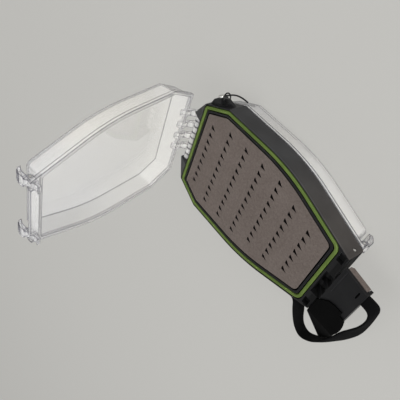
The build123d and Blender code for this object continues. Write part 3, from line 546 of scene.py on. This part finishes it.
def slit_corner_moves(side):
    """Place and opening step of each slit corner, in mm; side is 1 in front, -1 behind."""
    moves = []
    for row, (count, shift) in enumerate(SLIT_ROWS):
        centre_x = SLIT_FIRST_ROW + row * SLIT_ROW_PITCH
        for i in range(count):
            centre_y = (i - (count - 1) / 2 + shift) * SLIT_PITCH
            for (x, y), (new_x, new_y) in SLIT_CORNERS:
                place = Vector((centre_x + x, side * (centre_y + y)))
                moves.append((place, Vector((new_x - x, side * (new_y - y)))))
    return moves


def open_slits(bm, side):
    """Moves the corners of the slits apart, at every depth."""
    moves = slit_corner_moves(side)
    for vert in bm.verts:
        spot = Vector((vert.co.x / MM, vert.co.y / MM))
        for place, step in moves:
            if (spot - place).length < SLIT_MATCH:
                vert.co.x += step.x * MM
                vert.co.y += step.y * MM
                break


def foam_insert(node, body, material, edge, slit_side=0):
    """Foam piece in its CAD place, its slits opened and its edges and slit lips rounded over."""
    bm = cad_mesh(node)
    if slit_side:
        open_slits(bm, slit_side)
    join_flat_faces(bm)
    piece = new_piece(node + "_insert", bm, material, smooth=False)
    round_edges(piece, edge, FOAM_ROUND_SEGMENTS, FOAM_ROUND_TURN)
    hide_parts(node)
    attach(piece, body)


# ---- smooth lines ----
def nurbs_curve(name, points, resolution):
    """Curve with one smooth spline that has these points, in millimetres, as its control points."""
    curve = bpy.data.curves.new(name, "CURVE")
    curve.dimensions = "3D"
    curve.resolution_u = resolution
    spline = curve.splines.new("NURBS")
    spline.points.add(len(points) - 1)
    for place, point in zip(spline.points, points):
        place.co = (*mm(*point), 1.0)
    spline.order_u = 3
    spline.use_endpoint_u = True
    return curve


def spline_points(points, resolution):
    """Points along the smooth line that has these control points, in millimetres."""
    curve = nurbs_curve("line", points, resolution)
    holder = bpy.data.objects.new("line", curve)
    mesh = bpy.data.meshes.new_from_object(holder)
    line = [v.co.copy() for v in mesh.vertices]
    bpy.data.meshes.remove(mesh)
    bpy.data.objects.remove(holder)
    bpy.data.curves.remove(curve)
    return line


# ---- strap ----
STRAP_EDGES = [  # upper and lower edge of the webbing, paired along it, and how deep it is cupped
    ((49.0, -41.0, 30.8), (49.0, -41.0, 20.0), 0.0),
    ((60.5, -37.2, 30.8), (60.5, -37.2, 20.0), 0.0),
    ((65.0, -37.0, 31.2), (67.0, -39.4, 20.3), 0.0),
    ((69.0, -43.5, 32.4), (72.3, -46.3, 20.6), 0.0),
    ((74.6, -51.4, 32.8), (75.8, -54.0, 21.0), 0.0),
    ((79.8, -56.2, 33.0), (79.7, -59.6, 21.0), 0.0),
    ((86.1, -58.8, 33.0), (86.8, -60.9, 22.0), 0.2),
    ((92.9, -53.6, 33.0), (92.9, -56.2, 21.5), 0.6),
    ((97.4, -44.0, 33.0), (97.3, -49.6, 22.5), 1.7),
    ((101.0, -31.3, 33.0), (104.0, -39.6, 24.0), 1.2),
    ((102.5, -20.8, 33.0), (108.4, -29.3, 24.0), 0.3),
    ((105.1, -13.1, 33.0), (111.3, -18.0, 24.0), 0.0),
    ((107.8, -5.8, 33.0), (111.0, -6.9, 24.0), 0.0),
    ((108.4, 2.2, 32.0), (109.8, 7.0, 26.2), 0.0),
    ((105.8, 6.8, 30.6), (109.0, 16.6, 29.4), 0.0),
    ((102.2, 7.4, 30.0), (103.5, 18.4, 29.9), 0.0),
    ((97.2, 7.2, 29.9), (97.2, 17.9, 29.9), 0.0),
]
STRAP_RESOLUTION = 8
STRAP_THICKNESS = 1.6
STRAP_COLUMNS = 12
SELVEDGE = 1.0
SELVEDGE_SHARE = 0.4  # of the thickness that is left at the very edge


def strap_section(width, cup):
    """Cupped webbing section, thin at its selvedges: share of the width, height over its line."""
    upper, lower = [], []
    for i in range(STRAP_COLUMNS + 1):
        share = i / STRAP_COLUMNS
        inward = min(1.0, min(share, 1 - share) * width / (SELVEDGE * MM))
        fullness = SELVEDGE_SHARE + (1 - SELVEDGE_SHARE) * math.sin(inward * math.pi / 2)
        half = STRAP_THICKNESS / 2 * MM * fullness
        middle = -cup * (1 - (2 * share - 1) ** 2)
        upper.append((share, middle + half))
        lower.append((share, middle - half))
    return upper + lower[::-1]


def strap_piece():
    """Webbing loop on edge that twists flat at its end under the flap, as one woven band."""
    tops = spline_points([top for top, low, cup in STRAP_EDGES], STRAP_RESOLUTION)
    lows = spline_points([low for top, low, cup in STRAP_EDGES], STRAP_RESOLUTION)
    cups = spline_points([(cup, 0, 0) for top, low, cup in STRAP_EDGES], STRAP_RESOLUTION)
    middles = [(top + low) / 2 for top, low in zip(tops, lows)]
    bm = bmesh.new()
    uv = bm.loops.layers.uv.new("weave")
    rings, runs, run = [], [], 0.0
    for i, (top, low, cup) in enumerate(zip(tops, lows, cups)):
        ahead = middles[min(i + 1, len(middles) - 1)] - middles[max(i - 1, 0)]
        face_normal = ahead.cross(low - top).normalized()
        if i:
            run += (middles[i] - middles[i - 1]).length
        runs.append(run)
        section = strap_section((low - top).length, cup.x)
        places = [top.lerp(low, share) + face_normal * height for share, height in section]
        rings.append([bm.verts.new(place) for place in places])
    shares = [share for share, height in section]
    count = len(shares)
    width = (lows[0] - tops[0]).length
    for i in range(len(rings) - 1):
        here, there = rings[i], rings[i + 1]
        for k in range(count):
            after = (k + 1) % count
            face = bm.faces.new((here[k], there[k], there[after], here[after]))
            rows = (runs[i], runs[i + 1], runs[i + 1], runs[i])
            ups = (shares[k], shares[k], shares[after], shares[after])
            for loop, row, up in zip(face.loops, rows, ups):
                loop[uv].uv = (row, up * width)
    bm.faces.new(rings[0])
    bm.faces.new(reversed(rings[-1]))
    bmesh.ops.recalc_face_normals(bm, faces=bm.faces)
    piece = new_piece("strap_webbing", bm, WEBBING)
    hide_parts("strap")
    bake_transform(piece)


# ---- tab ----
FRONT_Z = 33.0
TAB_THICKNESS = 1.2
TAB_FOLD_Y = -29.2
TAB_SLOPE = 8.0 / 24.0
TAB_EDGE_ROUND = 0.4 * MM
TAB_ROUND_SEGMENTS = 3
TAB_ROUND_TURN = math.radians(40)
TAB_BOW = 1.6  # of the edge past TAB_BOW_X
TAB_BOW_X = 100.2
TAB_BOW_SPAN = (-29.2, -12.2)
TAB_BOW_SLACK = 0.2
TAB_BOW_CUTS = 7
TAB_TUCK_LOW = (77.25, -31.0, 28.8)
TAB_TUCK_HIGH = (78.6, -15.6, 33.3)
BOX_FACES = ((0, 1, 3, 2), (4, 6, 7, 5), (0, 4, 5, 1), (2, 3, 7, 6), (0, 2, 6, 4), (1, 5, 7, 3))
STITCH_EDGE = ((79.1, -31.9), (92.6, -45.4))
STITCH_LENGTH = 1.9
STITCH_PITCH = 2.9
STITCH_RADIUS = 0.26
STITCH_STEPS = 6
STITCH_SIDES = 8
STITCH_RISE = 0.5
STITCH_DIP = 0.6
STITCH_END_SIZE = 0.35


def tab_top(y):
    """Height of the tab's upper face, in millimetres."""
    return FRONT_Z + TAB_THICKNESS + min(0.0, y - TAB_FOLD_Y) * TAB_SLOPE


def add_box(bm, low, high):
    """Box between two corners, in millimetres."""
    corners = [bm.verts.new(mm(*place)) for place in product(*zip(low, high))]
    for loop in BOX_FACES:
        bm.faces.new([corners[k] for k in loop])


def bow_outer_edge(bm):
    """The straight outer edge of the CAD tab, between its fold and its corner, bowed outwards."""
    low, high = (y * MM for y in TAB_BOW_SPAN)
    slack = TAB_BOW_SLACK * MM

    def on_edge(vert):
        return vert.co.x > TAB_BOW_X * MM and low - slack < vert.co.y < high + slack

    edges = [
        e for e in bm.edges
        if e.calc_length() > (high - low) / 2 and all(on_edge(v) for v in e.verts)
    ]
    made = bmesh.ops.subdivide_edges(bm, edges=edges, cuts=TAB_BOW_CUTS)["geom_inner"]
    for vert in {v for v in made if isinstance(v, bmesh.types.BMVert)}:
        share = (vert.co.y - low) / (high - low)
        vert.co.x += TAB_BOW * MM * 4 * share * (1 - share)


def tab_piece():
    """The web that comes out from under the flap, its hem tucked down beside the frame's end."""
    bm = cad_mesh("strap_tab")
    join_flat_faces(bm)
    bow_outer_edge(bm)
    add_box(bm, TAB_TUCK_LOW, TAB_TUCK_HIGH)
    piece = new_piece("tab_web", bm, TAB_WEB, smooth=False)
    round_edges(piece, TAB_EDGE_ROUND, TAB_ROUND_SEGMENTS, TAB_ROUND_TURN)
    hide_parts("strap_tab")
    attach(piece, "end_flap")


def stitch(bm, start, end, up):
    """One stitch: a short thread that dips into the web at both ends."""
    along = end - start
    side = along.normalized().cross(up)
    rings = []
    for i in range(STITCH_STEPS + 1):
        share = i / STITCH_STEPS
        arch = math.sin(math.pi * share)
        lift = arch ** 0.5 if 0 < share < 1 else -STITCH_DIP
        middle = start + along * share + up * (STITCH_RADIUS * MM * STITCH_RISE * lift)
        size = STITCH_RADIUS * MM * (STITCH_END_SIZE + (1 - STITCH_END_SIZE) * arch)
        ring = []
        for k in range(STITCH_SIDES):
            turn = math.tau * k / STITCH_SIDES
            spoke = side * (math.cos(turn) * size) + up * (math.sin(turn) * size)
            ring.append(bm.verts.new(middle + spoke))
        rings.append(ring)
    for a, b in zip(rings, rings[1:]):
        for k in range(STITCH_SIDES):
            after = (k + 1) % STITCH_SIDES
            bm.faces.new((a[k], a[after], b[after], b[k]))
    bm.faces.new(reversed(rings[0]))
    bm.faces.new(rings[-1])


def tab_stitches():
    """Row of stitches along the tab's hem."""
    start, end = (Vector(p) for p in STITCH_EDGE)
    run = (end - start).length
    up = Vector((0, -TAB_SLOPE, 1)).normalized()
    bm = bmesh.new()
    for i in range(int(run / STITCH_PITCH)):
        a = start.lerp(end, i * STITCH_PITCH / run)
        b = start.lerp(end, (i * STITCH_PITCH + STITCH_LENGTH) / run)
        stitch(bm, mm(a.x, a.y, tab_top(a.y)), mm(b.x, b.y, tab_top(b.y)), up)
    bmesh.ops.recalc_face_normals(bm, faces=bm.faces)
    piece = new_piece("tab_stitching", bm, THREAD)
    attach(piece, "end_flap")


# ---- lanyard tail ----
TAIL_POINTS = [
    (-64.4, 52.6, 25.5), (-61.5, 55.0, 25.6), (-58.9, 57.0, 24.7), (-56.5, 57.6, 23.0),
    (-54.1, 57.3, 21.1), (-52.0, 56.3, 19.2), (-49.7, 54.8, 17.0),
]
TAIL_RESOLUTION = 12
TAIL_DIAMETER = 1.2
TAIL_ROUNDNESS = 4


def lanyard_tail():
    """Short end of cord through the ring."""
    curve = nurbs_curve("lanyard_tail_braid", TAIL_POINTS, TAIL_RESOLUTION)
    curve.bevel_depth = TAIL_DIAMETER / 2 * MM
    curve.bevel_resolution = TAIL_ROUNDNESS
    curve.use_fill_caps = True
    curve.materials.append(BRAID)
    piece = link(bpy.data.objects.new("lanyard_tail_braid", curve))
    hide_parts("lanyard_tail")
    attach(piece, "lanyard_ring")


# ---- studio ----
CAMERA_PLACE = (122.8, 241.5, 263.1)
CAMERA_RIGHT = (0.549, 0.186, -0.815)
CAMERA_DOWN = (0.683, -0.661, 0.310)
CAMERA_NEAREST = 10.0 * MM
FOCAL_PIXELS = 467.46
FRAME_PIXELS = 400
PRINCIPAL_X = 150
SENSOR = 36.0
FLOOR_SIZE = 12.0
BACKGROUND = colour(192, 191, 187)
PLAIN_SHARE = 0.75
WHITE = (1.0, 1.0, 1.0, 1.0)
SKY_LEVEL = 0.42
LAMP_TARGET = (0, 0, 0.06)
LAMPS = (  # name, place in metres, size, power
    ("top", (0.1, 0.4, 2.0), 1.4, 12.0),
    ("latch_side", (1.15, 0.3, 0.5), 0.9, 12.0),
    ("near_side", (0.3, 2.0, 0.9), 1.4, 14.0),
)


def camera():
    """The photograph's camera, its picture shifted sideways off its principal point."""
    data = bpy.data.cameras.new("camera")
    data.sensor_width = SENSOR
    data.sensor_fit = "HORIZONTAL"
    data.lens = FOCAL_PIXELS / FRAME_PIXELS * SENSOR
    data.shift_x = (FRAME_PIXELS / 2 - PRINCIPAL_X) / FRAME_PIXELS
    data.clip_start = CAMERA_NEAREST
    view = link(bpy.data.objects.new("camera", data))
    right = Vector(CAMERA_RIGHT).normalized()
    up = -Vector(CAMERA_DOWN)
    up = (up - right * up.dot(right)).normalized()
    turn = Matrix((right, up, right.cross(up))).transposed().to_4x4()
    view.matrix_world = Matrix.Translation(mm(*CAMERA_PLACE)) @ turn
    bpy.context.scene.camera = view


def floor():
    """Plain pale floor; the camera sees its shadows at part strength."""
    bm = bmesh.new()
    bmesh.ops.create_grid(bm, x_segments=1, y_segments=1, size=FLOOR_SIZE / 2)
    m = Nodes("floor")
    m.base(m.ramp(m.noise(scale=3, detail=2), (BACKGROUND, BACKGROUND)))
    m.set(Roughness=1.0, Specular_IOR_Level=0.0)
    plain = m.add("ShaderNodeEmission", Color=BACKGROUND, Strength=1.0)
    mixed = m.add("ShaderNodeMixShader")
    rays = m.add("ShaderNodeLightPath").outputs
    seen = m.math("MAXIMUM", rays["Is Camera Ray"], rays["Is Glossy Ray"])
    seen = m.math("MAXIMUM", seen, rays["Is Transmission Ray"])
    m.join(m.math("MULTIPLY", seen, PLAIN_SHARE), mixed.inputs["Fac"])
    m.join(m.shader.outputs["BSDF"], mixed.inputs[1])
    m.join(plain.outputs["Emission"], mixed.inputs[2])
    m.join(mixed.outputs["Shader"], m.output.inputs["Surface"])
    new_piece("floor", bm, m.material)


def area_light(name, place, size, power):
    """Round lamp that faces the box."""
    data = bpy.data.lights.new(name, "AREA")
    data.shape = "DISK"
    data.size = size
    data.energy = power
    lamp = link(bpy.data.objects.new(name, data))
    lamp.location = place
    toward = Vector(LAMP_TARGET) - Vector(place)
    lamp.rotation_euler = toward.to_track_quat("-Z", "Y").to_euler()


def studio():
    """World, lamps and the plain view transform."""
    world = bpy.data.worlds.new("studio")
    bpy.context.scene.world = world
    world.use_nodes = True
    sky = world.node_tree.nodes["Background"]
    sky.inputs["Color"].default_value = WHITE
    sky.inputs["Strength"].default_value = SKY_LEVEL
    for lamp in LAMPS:
        area_light(*lamp)
    bpy.context.scene.view_settings.view_transform = "Standard"


camera()
lanyard_tail()
finish_cad_nodes()
foam_insert("front_foam", "case", SLIT_FOAM, SLIT_EDGE_ROUND, slit_side=1)
foam_insert("back_foam", "case", SLIT_FOAM, SLIT_EDGE_ROUND, slit_side=-1)
foam_insert("flap_foam", "end_flap", FLAP_FOAM, PAD_EDGE_ROUND)
strap_piece()
tab_piece()
tab_stitches()
floor()
studio()

bpy.context.view_layer.update()
